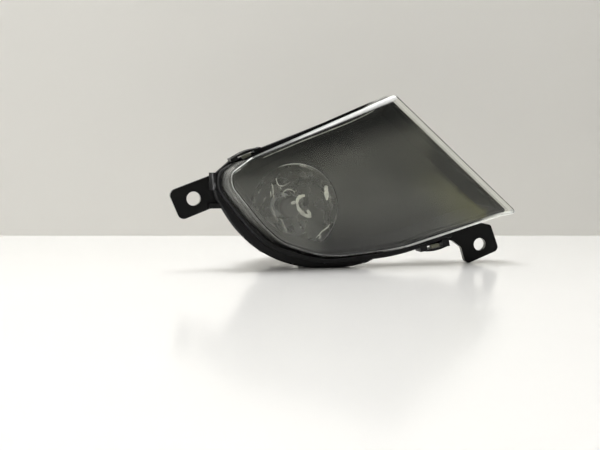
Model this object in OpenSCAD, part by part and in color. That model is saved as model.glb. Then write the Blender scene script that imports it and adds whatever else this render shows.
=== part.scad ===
// Fog light: clear cap lens over a black housing with a round parabolic bowl,
// two drilled mounting ears, a twist-lock bulb and a screw-adjusted reflector.
// Millimetres. +Z up from the surface it stands on, the lens faces -Y, the
// pointed end of the lens is at +X.

/* [Lens] */
// Clear wall of the lens face and skirt
lens_t = 2.5; // [1.5:0.1:4]
// Distance from the crown of the face to the end of the skirt
skirt_y = 16; // [10:0.5:22]

/* [Housing] */
// Front face of the flange the lens stands on
flange_y = 17; // [15:0.5:24]
// Thickness of the flange
flange_t = 3.5; // [2:0.5:6]
// Inside face of the shallow tray
tray_y = 30; // [24:1:40]
// Wall of the housing
wall = 2.4; // [1.5:0.1:4]
// Inside radius of the round can behind the bowl
can_r = 32.6; // [32:0.2:38]
// Half width over the flats of the rear half of the can
can_flat = 26; // [24:0.5:35]
// Inside face of the rear wall of the can
can_y = 60; // [56:1:70]
// Radius of the rear opening for the bulb
rear_r = 18; // [17:0.5:20]

/* [Mounting ears] */
// Thickness of both ears
ear_t = 3.5; // [2:0.5:5]
// Diameter of the hole in the ear at -X
hole_left = 9; // [5:0.1:12]
// Diameter of the hole in the ear at +X
hole_right = 8.6; // [5:0.1:12]

/* [Reflector] */
// Roll of the optical parts: the lens top edge lies at this angle
roll = 22; // [0:1:45]
// Centre of the bowl, X
bowl_x = 2.9; // [-10:0.1:20]
// Centre of the bowl, Z
bowl_z = 38.9; // [30:0.1:50]
// Radius of the bowl at its rim
bowl_r = 29; // [24:0.5:32]
// Focal length of the paraboloid
focal = 7.5; // [6:0.1:10]
// Front of the bowl rim
rim_y = 27.4; // [26:0.1:32]
// Shell of the reflector
shell = 1.8; // [1.2:0.1:3]

/* [Aiming] */
// Height of the pivot axis above the bowl axis
pivot_h = 27.5; // [20:0.5:28]
// Depth of the pivot axis
pivot_y = 50; // [46:1:52]
// Radius of the pivot pins
pin_r = 1.5; // [1:0.1:2]
// Distance of the adjuster screw below the bowl axis
screw_h = 27.5; // [24:0.5:29]
// Outside radius of the adjuster thread
screw_r = 2.4; // [1.5:0.1:3]
// Running clearance of pins and threads
run = 0.06; // [0.02:0.01:0.1]
// Distance of the ball below the bowl axis
ball_h = 21.5; // [19:0.5:23]
// Radius of the ball on the reflector arm
ball_r = 2.2; // [1.5:0.1:3]

/* [Bulb] */
// Reference plane of the bulb
ref_y = 73; // [70:1:80]
// Radius of the glass capsule
glass_r = 5.75; // [5:0.05:7]
// Radius of the plug that enters the neck
plug_r = 9.3; // [8:0.1:11]

/* [Hidden] */
// Moves the middle of the outline to X = 0, Y = 0
mid_x = 35.25;
mid_y = 46.2;
flange_back = flange_y + flange_t;
tray_back = tray_y + wall;
can_back = can_y + wall;
vertex_y = rim_y + bowl_r * bowl_r / (4 * focal);

// Outline of the lens face: corner x, corner z, corner radius, anticlockwise
face = [[17.5, 7.2, 70], [67.5, 12, 120], [139, 32.7, 15], [151.5, 34.2, 2.4], [63.9, 112.2, 4],
  [-33, 71.4, 15], [-44.6, 62.9, 6], [-44.6, 53.9, 15], [-25.6, 30, 80], [-12.8, 17.7, 35]];
// How far each side of the skirt flares from the face to the flange
flare = [1.6, 1.2, 0.6, 0, 0.4, 1.5, 3, 3.6, 2.4, 1.8];
// How far the rounded shoulder of the face reaches in from each side
shoulder = [1.2, 1.2, 1.2, 1.2, 4, 2, 1.2, 1.2, 1.2, 1.2];
// The same outline with a plain tip, for the parts inside
core = [[17.5, 7.2, 70], [67.5, 12, 120], [150.3, 35.9, 3], [63.9, 112.2, 5],
  [-33, 71.4, 15], [-44.6, 62.9, 6], [-44.6, 53.9, 15], [-25.6, 30, 80], [-12.8, 17.7, 35]];
core_d = [-1.3, -1.7, -3.3, -2.9, -1.8, -0.3, -0.3, -0.6, -1.1];
// How far the lip round the skirt stands out from the face, side by side
lip = [5.3, 5.3, 0, -1, 0, 2.6, 5.6, 5.6, 5.6, 5.4];
// Outline of the housing flange
rim = [[12, 0, 72], [38, 0, 50], [50.5, 2.6, 6], [56, 5.2, 6], [106, 14.2, 3], [111, 22.5, 4],
  [139, 30.3, 10], [150.2, 34.3, 2.5], [64.4, 110.8, 5], [-41, 70.4, 6], [-51.7, 61.2, 6],
  [-51.7, 48, 18], [-39.1, 27.3, 80], [-24.6, 13.2, 66], [-6.3, 3.7, 70]];

// Chamfer on the front edge of each side of the flange
rim_cut = [-1.1, -1.1, -1.1, -1.1, -1.1, -1.1, -1.1, -0.15, -0.15, -0.4, -1.1, -1.1, -1.1, -1.1, -1.1];

function xz(p) = [p[0], p[1]];
function unit(v) = v / norm(v);
function outward(a, b) = let (d = unit(b - a)) [d[1], -d[0]];
function meet(p, d, q, e) = p + d * (((q - p)[0] * e[1] - (q - p)[1] * e[0]) / (d[0] * e[1] - d[1] * e[0]));
function grow(P, D) = let (n = len(P)) [for (i = [0:n - 1])
  let (a = xz(P[(i + n - 1) % n]), b = xz(P[i]), c = xz(P[(i + 1) % n]),
    dl = D[(i + n - 1) % n], dr = D[i],
    q = meet(a + outward(a, b) * dl, b - a, b + outward(b, c) * dr, c - b),
    side = (b - a)[0] * (c - b)[1] - (b - a)[1] * (c - b)[0], m = (dl + dr) / 2)
  [q[0], q[1], max(0.5, P[i][2] + (side > 0 ? m : -m))]];
function same(P, d) = [for (p = P) d];
function plus(D, d) = [for (x = D) x + d];
function part(D, f) = [for (x = D) x * f];
function corner(a, b, c, r, k) =
  let (u = unit(a - b), v = unit(c - b), phi = acos(u * v),
    t = min(r / tan(phi / 2), min(norm(a - b), norm(c - b)) * 0.49),
    R = t * tan(phi / 2), m = b + unit(u + v) * (R / sin(phi / 2)),
    p1 = b + u * t - m, p2 = b + v * t - m, a1 = atan2(p1[1], p1[0]), a2 = atan2(p2[1], p2[0]),
    d0 = a2 - a1, da = d0 > 180 ? d0 - 360 : (d0 < -180 ? d0 + 360 : d0))
  [for (j = [0:k]) m + R * [cos(a1 + da * j / k), sin(a1 + da * j / k)]];
function soft(P, k = 8) = let (n = len(P)) [for (i = [0:n - 1])
  each corner(xz(P[(i + n - 1) % n]), xz(P[i]), xz(P[(i + 1) % n]), P[i][2], k)];
function ring(P, D, y, s = 1) = [for (p = soft(grow(P, D))) [(p[0] - 50) * s + 50, y, (p[1] - 60) * s + 60]];

module loft(R) {
  n = len(R[0]);
  polyhedron(points = [for (r = R) each r],
    faces = concat([[for (i = [0:n - 1]) n - 1 - i]],
      [for (k = [0:len(R) - 2]) for (i = [0:n - 1]) let (j = (i + 1) % n)
        each [[k * n + i, k * n + j, (k + 1) * n + j], [k * n + i, (k + 1) * n + j, (k + 1) * n + i]]],
      [[for (i = [0:n - 1]) (len(R) - 1) * n + i]]), convexity = 8);
}
module prism(P, y0, y1, k = 8) translate([0, y1, 0]) rotate([90, 0, 0])
  linear_extrude(height = y1 - y0) polygon(soft(P, k));
module place() translate([-mid_x, -mid_y, 0]) children();
module optic() translate([bowl_x, 0, bowl_z]) rotate([0, -roll, 0]) children();
module level() translate([bowl_x, 0, bowl_z]) children();
module ycyl(r, y0, y1, x = 0, z = 0) translate([x, y0, z]) rotate([-90, 0, 0]) cylinder(r = r, h = y1 - y0, $fn = 64);
module xcyl(r, x0, x1, y, z) translate([x0, y, z]) rotate([0, 90, 0]) cylinder(r = r, h = x1 - x0, $fn = 48);
module turned(P) rotate([-90, 0, 0]) rotate_extrude($fn = 96) polygon(P);
module box(x0, x1, y0, y1, z0, z1) translate([x0, y0, z0]) cube([x1 - x0, y1 - y0, z1 - z0]);
function bowl_at(y) = sqrt(4 * focal * (vertex_y - y));

// Frame of the clip at the upper left and of the clip at the bottom: x along
// the edge of the flange, z outwards from it
module clip_a() translate([-32.2, 0, 73.7]) rotate([0, -20.9, 0]) children();
module clip_b() translate([95.5, 0, 12.3]) rotate([0, 169.8, 0]) children();
module clip_loop(low) union() {
  box(-10.4, -5.6, 10.6, flange_back, low, 1.3);
  box(5.6, 10.4, 10.6, flange_back, low, 1.3);
  intersection() {
    box(-10.4, 10.4, 10.6, flange_back, 0.7, 2.4);
    ycyl(31.4, 8, 24, 0, -29);
  }
}
module clip_window() box(-5.6, 5.6, 10, flange_back + 1, -0.6, 0.7);

module housing() place() color([0.1, 0.1, 0.11]) difference() {
  union() {
    prism(rim, flange_y + 1, flange_back);
    loft([ring(rim, rim_cut, flange_y), ring(rim, same(rim, 0), flange_y + 1.1)]);
    difference() {
      loft([ring(face, plus(lip, -0.8), 12), ring(face, lip, 12.9), ring(face, lip, flange_y + 0.1)]);
      prism(grow(face, plus(flare, 0.4)), 11, flange_y + 1);
      box(108, 200, 11, flange_y + 1, 0, 60);
      clip_a() box(-8, 8, 11, flange_y + 1, -6, 4);
    }
    loft([ring(core, plus(core_d, 1.7), flange_y + 1), ring(core, plus(core_d, -1.6), tray_back)]);
    optic() {
      ycyl(can_r + wall, flange_y + 1, 46.4);
      intersection() {
        ycyl(can_r + wall, 40, can_back);
        box(-can_flat, can_flat, 40, can_back, -40, 40);
      }
    }
    optic() turned([[rear_r, can_back - 1], [rear_r + 1.8, can_back - 1], [rear_r + 1.8, 66.4],
      [rear_r + 2.4, 66.8], [rear_r + 2.4, 67.6], [rear_r, 67.6]]);
    optic() ycyl(7, 58.6, can_back, 0, -screw_h - 0.6);
    optic() ycyl(5, can_back - 1, 69.4, 0, -screw_h);
    box(14, 16.4, flange_back - 0.5, 58, 0, 12);
    box(30, 32.4, flange_back - 0.5, 58, 0, 24);
    clip_a() clip_loop(-0.6);
    clip_b() clip_loop(-3.4);
    intersection() {
      translate([-51.6, flange_y + 2.4, 51.5]) cylinder(r = 2.7, h = 11, $fn = 40);
      box(-60, -40, 10, flange_back, 40, 70);
    }
    box(-54.4, -47, flange_y + 0.6, flange_back, 39.8, 42.8);
    ycyl(4.4, tray_back - 1, tray_back + 5, 92, 56);
    for (p = [[66, 88], [126, 40], [58, 22]]) ycyl(4.6, tray_back - 1, tray_back + 1.2, p[0], p[1]);
    for (x = [48, 78, 108]) box(x, x + 1.8, tray_back - 1, tray_back + 3.2, 30 + (x - 48) * 0.2, 96 - (x - 48) * 0.66);
  }
  clip_a() clip_window();
  clip_b() clip_window();
  prism(grow(core, plus(core_d, -0.7)), 11, flange_y + 0.6);
  loft([ring(core, plus(core_d, -0.7), flange_y + 0.5), ring(core, plus(core_d, -4), tray_y)]);
  optic() difference() {
    union() {
      ycyl(can_r, flange_back + 0.4, 46.4 - wall);
      intersection() {
        ycyl(can_r, 40, can_y);
        box(wall - can_flat, can_flat - wall, 40, can_y, -40, 40);
      }
    }
    for (s = [-1, 1]) box(s > 0 ? 13.4 : -17.4, s > 0 ? 17.4 : -13.4, pivot_y - 4, pivot_y + 4, pivot_h - 4, 40);
    box(-1, 1, 43, 57, -40, -30.9);
    ycyl(7, 58.6, can_y + 1, 0, -screw_h - 0.6);
  }
  optic() {
    for (s = [-1, 1]) box(s > 0 ? 8.6 : -13.3, s > 0 ? 13.3 : -8.6, pivot_y - 4, pivot_y + 4, 20, 31.3);
    ycyl(rear_r, can_y - 1, 70);
    for (s = [-1, 1]) xcyl(pin_r + run, s > 0 ? 12 : -18.4, s > 0 ? 18.4 : -12, pivot_y, pivot_h);
    ycyl(3.2, 50, 70, 0, -screw_h);
    ycyl(4.3, 60.4, 62.6, 0, -screw_h);
  }
  ycyl(2.6, tray_y - 2, tray_back + 6, 92, 56);
  for (p = [[66, 88], [126, 40], [58, 22]]) ycyl(1.5, tray_y - 2, tray_back + 3, p[0], p[1]);
}

module lens() place() color([0.88, 0.9, 0.86, 0.45]) union() {
  loft([ring(face, part(shoulder, -1), 0, 0.55), ring(face, part(shoulder, -1), 0.9),
    ring(face, part(shoulder, -0.5), 1.4), ring(face, part(shoulder, -0.15), 2.6),
    ring(face, same(face, 0), 4.4), ring(face, flare, skirt_y), ring(face, plus(flare, -lens_t), skirt_y),
    ring(face, same(face, -2.6), lens_t + 2.8), ring(face, same(face, -3.4), lens_t + 1.4),
    ring(face, same(face, -3.4), lens_t, 0.55)]);
  clip_a() box(-2.9, 2.9, 9.6, 13.6, -3, 0.4);
  clip_b() {
    box(-2.9, 2.9, 9.6, 11.6, -8.2, 0.4);
    box(-2.9, 2.9, 11.5, 13.6, -1.9, 0.4);
  }
}

module lens_seal() place() color([0.16, 0.16, 0.17]) difference() {
  prism(grow(face, plus(flare, -0.9)), skirt_y, flange_y);
  prism(grow(face, plus(flare, -2.3)), skirt_y - 1, flange_y + 1);
}

module ear_left() place() color([0.12, 0.12, 0.13]) difference() {
  union() {
    prism([[-72.4, 32.2, 4], [-48.4, 41.5, 1], [-49.4, 62, 1], [-80.2, 50.6, 4]], flange_back, flange_back + ear_t);
    for (z = [42.5, 57]) translate([-50, flange_back + ear_t, z]) box(-6, 1, -0.5, 4, 0, 2.2);
  }
  ycyl(hole_left / 2, 10, 40, -64, 46.1);
}

module ear_right() place() color([0.12, 0.12, 0.13]) difference() {
  prism([[121.8, -1.13, 3.5], [146.1, 8.29, 3.5], [139.8, 25.4, 2], [128, 28, 3], [108, 23.3, 3],
    [103, 16.8, 2], [112, 15.2, 4], [118.3, 10.6, 2.5]], flange_back, flange_back + ear_t);
  ycyl(hole_right / 2, 10, 40, 131.8, 12.3);
}

module adjuster_washer() place() color([0.72, 0.72, 0.74]) optic() translate([0, 0, -screw_h])
  turned([[3.2, 69.4], [5, 69.4], [5, 69.9], [3.2, 69.9]]);

module bezel() place() color([0.3, 0.31, 0.3]) difference() {
  union() {
    prism(grow(core, core_d), 15.5, flange_y);
    loft([ring(core, plus(core_d, -1.2), flange_y - 0.5), ring(core, plus(core_d, -6.2), 24.6)]);
    for (p = [[66, 88], [126, 40], [58, 22]]) ycyl(3.2, 24, tray_y, p[0], p[1]);
  }
  loft([ring(core, plus(core_d, -1.6), 15.4), ring(core, plus(core_d, -7.6), 22.6)]);
  optic() ycyl(bowl_r + 0.1, 21.9, 26);
  for (p = [[66, 88], [126, 40], [58, 22]]) ycyl(1.45, 25, tray_y + 1, p[0], p[1]);
}

module bezel_screws() place() color([0.7, 0.7, 0.72])
  for (p = [[66, 88], [126, 40], [58, 22]]) difference() {
    union() {
      ycyl(1.4, 26, tray_back + 1.5, p[0], p[1]);
      ycyl(3.4, tray_back + 1.2, tray_back + 3.2, p[0], p[1]);
    }
    translate([p[0], 0, p[1]]) for (a = [0, 90]) rotate([0, a, 0]) box(-2, 2, tray_back + 2.2, tray_back + 4, -0.4, 0.4);
  }

module reflector() place() color([0.85, 0.86, 0.88]) optic() difference() {
  union() {
    turned(concat([for (i = [0:14]) let (y = rim_y + (vertex_y - rim_y - 3.4) * i / 14) [bowl_at(y), y]],
      [[9.8, 53.6], [9.8, 69], [12.9, 69], [12.9, 71.6], [9.8, 71.6], [9.8, ref_y], [16.2, ref_y], [16.2, 70.8],
        [14.2, 70.8], [14.2, 67.6], [13.6, 67.4], [13.4, 56]],
      [for (i = [14:-1:0]) let (y = rim_y + 1.6 + (vertex_y - rim_y - 3.4) * i / 14) [bowl_at(y - 0.4) + shell, y + 0.4]],
      [[bowl_r + 2, rim_y + 1.6], [bowl_r + 2, rim_y]]));
    for (s = [-1, 1]) difference() {
      union() {
        box(s > 0 ? 9.4 : -12.8, s > 0 ? 12.8 : -9.4, pivot_y - 2.6, pivot_y + 2.6, 12, pivot_h);
        xcyl(3.2, s > 0 ? 9.4 : -12.8, s > 0 ? 12.8 : -9.4, pivot_y, pivot_h);
      }
      turned([[0, 10], [bowl_at(40) + 1, 40], [bowl_at(46) + 1, 46], [bowl_at(50) + 1, 50], [bowl_at(54) + 1, 54], [0, 54]]);
    }
    difference() {
      box(-2.4, 2.4, pivot_y - 2, pivot_y + 2, -18.3, -11);
      turned([[0, 10], [bowl_at(40) + 1, 40], [bowl_at(46) + 1, 46], [bowl_at(50) + 1, 50], [bowl_at(54) + 1, 54], [0, 54]]);
    }
    box(-1.2, 1.2, pivot_y - 1.1, pivot_y + 1.1, -21, -18);
    translate([0, pivot_y, -ball_h]) sphere(r = ball_r, $fn = 48);
  }
  for (s = [-1, 1]) xcyl(pin_r + 0.01, s > 0 ? 8 : -14, s > 0 ? 14 : -8, pivot_y, pivot_h);
  for (a = [0, 120, 240]) rotate([0, a, 0]) box(-3.4, 3.4, 71, ref_y + 1, 0, 12.9);
}

module pivot_pins() place() color([0.75, 0.76, 0.78]) optic()
  for (s = [-1, 1]) xcyl(pin_r, s > 0 ? 9 : -18, s > 0 ? 18 : -9, pivot_y, pivot_h);

module pivot_caps() place() color([0.2, 0.2, 0.22]) optic()
  for (s = [-1, 1]) difference() {
    xcyl(2.9, s > 0 ? 8 : -9.4, s > 0 ? 9.4 : -8, pivot_y, pivot_h);
    xcyl(1.51, s > 0 ? 8.9 : -10, s > 0 ? 10 : -8.9, pivot_y, pivot_h);
  }

module skin_zone(a, b) turned(concat([for (i = [0:5]) let (y = 40 + 2 * i) [bowl_at(y) - a, y]],
  [for (i = [5:-1:0]) let (y = 40 + 2 * i) [bowl_at(y) - b, y]]));
module bulb_shield() place() color([0.6, 0.61, 0.63]) optic() {
  turned([[0, 31], [3.5, 31.2], [6.2, 32.4], [7.6, 34.6], [7.6, 41], [6.9, 41], [6.9, 34.8], [5.7, 33.1], [3.3, 32], [0, 31.8]]);
  intersection() {
    skin_zone(0.9, 0.1);
    box(-4.5, 4.5, 41, 48, -26, -8);
  }
  difference() {
    box(-2, 2, 39.6, 40.4, -20, -7.3);
    turned([[bowl_at(38) - 1.2, 38], [bowl_at(42) - 1.2, 42], [40, 42], [40, 38]]);
  }
  difference() {
    box(-2, 2, 39.6, 42.6, -21, -17.6);
    box(-3, 3, 40.4, 44, -19.2, -15);
    skin_zone(0.1, -20);
    box(-3, 3, 39, 40.1, -30, -19.8);
  }
}

module shield_rivets() place() color([0.8, 0.8, 0.82]) optic() difference() {
  for (s = [-1, 1]) translate([s * 3, 44.6, -bowl_at(44.6) + 1.1]) sphere(r = 1.2, $fn = 32);
  skin_zone(0.9, -20);
}

module bulb_glass() place() color([0.9, 0.93, 0.95, 0.5]) optic()
  turned([[0, 36], [3, 36.5], [5, 38], [glass_r, 40.5], [glass_r, 62.4], [glass_r - 0.9, 62.4], [glass_r - 0.9, 41], [4.2, 38.9], [2.4, 37.5], [0, 37]]);

module bulb_filament() place() color([0.75, 0.72, 0.68]) optic() difference() {
  ycyl(0.8, 45.4, 50.6);
  ycyl(0.4, 44, 52);
}

module filament_leads() place() color([0.7, 0.7, 0.7]) optic() {
  box(-0.35, 0.35, 50.6, 66, 0.45, 1.15);
  box(-0.35, 0.35, 44.7, 45.4, 0.2, 2.9);
  box(-0.35, 0.35, 44.7, 66, 2.3, 3);
}

module bulb_collar() place() color([0.78, 0.79, 0.8]) optic() difference() {
  union() { ycyl(8.4, 60.5, 67); ycyl(7, 57.5, 60.5); }
  ycyl(glass_r + 0.02, 50, 62.4);
  ycyl(4.4, 62, 68);
}

module bulb_base() place() color([0.13, 0.13, 0.14]) optic() union() {
  difference() { ycyl(plug_r, 67, ref_y + 0.4); ycyl(2, 60, 69); }
  for (a = [0, 120, 240]) rotate([0, a - 45, 0]) difference() {
    box(-3, 3, 69.4, 71.2, 0, 12.4);
    ycyl(plug_r - 0.5, 60, 80);
  }
  ycyl(15.4, ref_y + 1.8, ref_y + 4.6);
  ycyl(plug_r + 0.9, ref_y + 0.35, ref_y + 2);
  ycyl(12.6, ref_y + 4, ref_y + 12);
  for (a = [-40, 0, 40, 140, 180, 220]) rotate([0, a, 0]) box(-1, 1, ref_y + 4, ref_y + 10, 10, 14.4);
  rotate([0, roll, 0]) box(0, 13.5, ref_y + 5, ref_y + 17.6, -8, 8);
}

module bulb_seal() place() color([0.75, 0.32, 0.18]) optic() turned([[10.4, ref_y + 0.3], [13.4, ref_y + 0.3], [13.4, ref_y + 1.8], [10.4, ref_y + 1.8]]);

module plug_shell() place() color([0.13, 0.13, 0.14]) level() difference() {
  box(13.5, 31, ref_y + 5.6, ref_y + 17, -7.4, 7.4);
  box(16, 32, ref_y + 7.2, ref_y + 15.4, -5.8, 5.8);
}

module plug_pins() place() color([0.8, 0.74, 0.5]) level()
  for (s = [-1, 1]) box(16, 22.5, ref_y + 10.9, ref_y + 11.7, s * 3 - 1.4, s * 3 + 1.4);

module plug_latch() place() color([0.13, 0.13, 0.14]) level() {
  box(15, 24, ref_y + 17, ref_y + 18.2, -2.6, 2.6);
  box(19, 21.4, ref_y + 18.2, ref_y + 19.4, -2.6, 2.6);
}

module rear_boot() place() color([0.08, 0.08, 0.08]) optic() turned([
  [rear_r + 1.85, 63], [rear_r + 3.4, 63], [rear_r + 3.4, 68.1], [rear_r + 2.7, 68.7], [rear_r - 0.6, 68.7],
  [rear_r - 1.4, 68.1], [rear_r - 2.2, 68.1], [rear_r - 2.2, 66], [rear_r - 1, 66], [rear_r - 0.4, 67.7],
  [rear_r + 2.45, 67.7], [rear_r + 2.45, 66.7], [rear_r + 1.85, 66.3]]);

module boot_ring() place() color([0.7, 0.7, 0.72]) optic() turned([
  [rear_r + 3.42, 64], [rear_r + 4, 64], [rear_r + 4, 65.4], [rear_r + 3.42, 65.4]]);

module adjuster_screw() place() color([0.86, 0.85, 0.8]) optic() translate([0, 0, -screw_h]) difference() {
  union() {
    ycyl(screw_r, 44, 57);
    ycyl(3.14, 56.3, 70.3);
    ycyl(5.4, 70.2, 74.4);
    for (a = [0:30:330]) rotate([0, a, 0]) box(-0.7, 0.7, 70.2, 73.4, 4.8, 6.1);
  }
  for (a = [0, 90]) rotate([0, a, 0]) box(-3.4, 3.4, 72, 76, -0.7, 0.7);
  turned([[2.85, 57.3], [4, 57.3], [4, 58.4], [2.85, 58.4]]);
}

module adjuster_nut() place() color([0.85, 0.85, 0.83]) optic() difference() {
  box(-5, 5, pivot_y - 3.6, pivot_y + 3.6, -31.6, -19.3);
  box(-1.4, 1.4, 40, 60, -34, -30.5);
  ycyl(screw_r + run, 40, 60, 0, -screw_h);
  xcyl(ball_r + 0.32, -6, 6, pivot_y, -ball_h);
  box(-6, 6, pivot_y - 1.7, pivot_y + 1.7, -ball_h, -18);
}

module adjuster_clip() place() color([0.72, 0.72, 0.74]) optic() translate([0, 0, -screw_h]) difference() {
  ycyl(4.7, 57.45, 58.25);
  ycyl(2.86, 56, 60);
  box(-1.6, 1.6, 56, 60, 0, 8);
}

module adjuster_seal() place() color([0.1, 0.1, 0.1]) optic() translate([0, 0, -screw_h])
  turned([[3.2, 60.6], [4.28, 60.6], [4.28, 62.4], [3.2, 62.4]]);

module vent_elbow() place() color([0.09, 0.09, 0.09]) difference() {
  union() {
    ycyl(6, tray_back + 1, tray_back + 9, 92, 56);
    translate([92, tray_back + 8, 56]) rotate([0, 0, 0]) sphere(r = 6, $fn = 48);
    translate([92, tray_back + 8, 44]) cylinder(r = 5, h = 12, $fn = 48);
  }
  ycyl(4.42, tray_back, tray_back + 5.1, 92, 56);
  ycyl(2.6, tray_back, tray_back + 8, 92, 56);
  translate([92, tray_back + 8, 40]) cylinder(r = 2.6, h = 16, $fn = 48);
}

module vent_filter() place() color([0.8, 0.8, 0.78]) translate([92, tray_back + 8, 44.6]) cylinder(r = 2.58, h = 1.4, $fn = 48);

housing();
lens();
lens_seal();
ear_left();
ear_right();
bezel();
bezel_screws();
reflector();
bulb_shield();
shield_rivets();
pivot_pins();
pivot_caps();
bulb_glass();
bulb_filament();
filament_leads();
bulb_collar();
bulb_base();
bulb_seal();
plug_shell();
plug_pins();
plug_latch();
rear_boot();
boot_ring();
adjuster_screw();
adjuster_nut();
adjuster_clip();
adjuster_seal();
vent_elbow();
vent_filter();
adjuster_washer();
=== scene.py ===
"""Looks of the fog light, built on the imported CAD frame. Metres, +Z up, lens towards -Y."""
import math

import bmesh
import bpy
from mathutils import Matrix, Vector


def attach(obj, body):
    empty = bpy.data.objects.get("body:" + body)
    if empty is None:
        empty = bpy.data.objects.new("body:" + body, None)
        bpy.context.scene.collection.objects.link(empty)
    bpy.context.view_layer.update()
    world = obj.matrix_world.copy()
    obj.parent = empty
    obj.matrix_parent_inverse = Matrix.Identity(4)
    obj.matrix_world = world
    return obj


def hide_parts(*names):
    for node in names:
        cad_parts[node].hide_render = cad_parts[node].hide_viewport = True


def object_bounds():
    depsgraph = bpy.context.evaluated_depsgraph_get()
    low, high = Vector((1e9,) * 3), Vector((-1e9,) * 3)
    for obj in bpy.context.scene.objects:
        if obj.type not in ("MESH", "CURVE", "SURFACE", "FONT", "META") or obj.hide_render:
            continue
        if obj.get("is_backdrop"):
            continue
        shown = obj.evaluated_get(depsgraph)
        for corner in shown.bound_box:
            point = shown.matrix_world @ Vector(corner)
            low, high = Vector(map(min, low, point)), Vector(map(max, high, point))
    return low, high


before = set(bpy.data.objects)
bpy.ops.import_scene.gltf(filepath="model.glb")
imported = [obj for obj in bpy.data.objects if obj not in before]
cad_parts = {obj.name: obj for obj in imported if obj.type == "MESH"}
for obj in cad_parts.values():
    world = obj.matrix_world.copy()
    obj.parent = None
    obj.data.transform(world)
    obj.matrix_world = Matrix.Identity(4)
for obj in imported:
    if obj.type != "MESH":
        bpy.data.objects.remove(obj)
cad_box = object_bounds()
scene = bpy.context.scene

# ---------------------------------------------------------------- sizes, mm
MID_X, MID_Y = 35.25, 46.2
BOWL_X, BOWL_Z, ROLL = 2.9, 38.9, 22.0
BOWL_R, FOCAL, RIM_Y = 29.0, 7.5, 27.4
VERTEX_Y = RIM_Y + BOWL_R ** 2 / (4 * FOCAL)
SCREW_H, REAR_R = 27.5, 18.0

FACE = [(17.5, 7.2, 70), (67.5, 12, 120), (139, 32.7, 15), (151.5, 34.2, 2.4), (63.9, 112.2, 4),
        (-33, 71.4, 15), (-44.6, 62.9, 6), (-44.6, 53.9, 15), (-25.6, 30, 80), (-12.8, 17.7, 35)]
FLARE = [1.6, 1.2, 0.6, 0, 0.4, 1.5, 3, 3.6, 2.4, 1.8]
SHOULDER = [1.2, 1.2, 1.2, 1.2, 4, 2, 1.2, 1.2, 1.2, 1.2]


def at(x, y, z):
    """Design millimetres to frame metres."""
    return Vector(((x - MID_X) / 1000, (y - MID_Y) / 1000, z / 1000))


def grow(P, D):
    out, n = [], len(P)
    for i in range(n):
        a, b, c = (Vector(P[(i + k) % n][:2]) for k in (-1, 0, 1))
        d1, d2 = (b - a).normalized(), (c - b).normalized()
        p = a + Vector((d1.y, -d1.x)) * D[i - 1]
        q = b + Vector((d2.y, -d2.x)) * D[i]
        cr = d1.x * d2.y - d1.y * d2.x
        t = ((q - p).x * d2.y - (q - p).y * d2.x) / cr
        m = (D[i - 1] + D[i]) / 2
        v = p + d1 * t
        out.append((v.x, v.y, max(0.4, P[i][2] + (m if cr > 0 else -m))))
    return out


def soft(P, k=14):
    out, n = [], len(P)
    for i in range(n):
        a, b, c = (Vector(P[(i + j) % n][:2]) for j in (-1, 0, 1))
        u, v = (a - b).normalized(), (c - b).normalized()
        phi = math.acos(max(-1, min(1, u.dot(v))))
        t = min(P[i][2] / math.tan(phi / 2), min((a - b).length, (c - b).length) * 0.49)
        r = t * math.tan(phi / 2)
        m = b + (u + v).normalized() * (r / math.sin(phi / 2))
        a1 = math.atan2(*(b + u * t - m).yx)
        a2 = math.atan2(*(b + v * t - m).yx)
        da = (a2 - a1 + math.pi) % (2 * math.pi) - math.pi
        out += [m + Vector((math.cos(a1 + da * j / k), math.sin(a1 + da * j / k))) * r for j in range(k + 1)]
    return out


def ring(P, D, y, s=1.0, k=14):
    if not isinstance(D, list):
        D = [D] * len(P)
    return [((p.x - 50) * s + 50, y, (p.y - 60) * s + 60) for p in soft(grow(P, D), k)]


# ---------------------------------------------------------------- mesh helpers
def obj_from(bm, name, mat=None, smooth=True, angle=35):
    me = bpy.data.meshes.new(name)
    bm.to_mesh(me)
    bm.free()
    ob = bpy.data.objects.new(name, me)
    scene.collection.objects.link(ob)
    if mat:
        me.materials.append(mat)
    if smooth:
        for p in me.polygons:
            p.use_smooth = True
        me.set_sharp_from_angle(angle=math.radians(angle))
    return ob


def loft(rings, name, mat, cap=(True, True), angle=35, closed=False, second=None, row=0):
    bm = bmesh.new()
    rows = [[bm.verts.new(at(*p)) for p in r] for r in rings]
    n = len(rows[0])
    pairs = list(zip(rows, rows[1:])) + ([(rows[-1], rows[0])] if closed else [])
    for k, (a, b) in enumerate(pairs):
        for i in range(n):
            j = (i + 1) % n
            f = bm.faces.new((a[i], a[j], b[j], b[i]))
            f.material_index = 1 if second and k >= row else 0
    if cap[0] and not closed:
        bm.faces.new(list(reversed(rows[0])))
    if cap[1] and not closed:
        bm.faces.new(rows[-1]).material_index = 1 if second else 0
    bmesh.ops.remove_doubles(bm, verts=bm.verts, dist=2e-6)
    bmesh.ops.recalc_face_normals(bm, faces=bm.faces)
    ob = obj_from(bm, name, mat, angle=angle)
    if second:
        ob.data.materials.append(second)
    return ob


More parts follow.
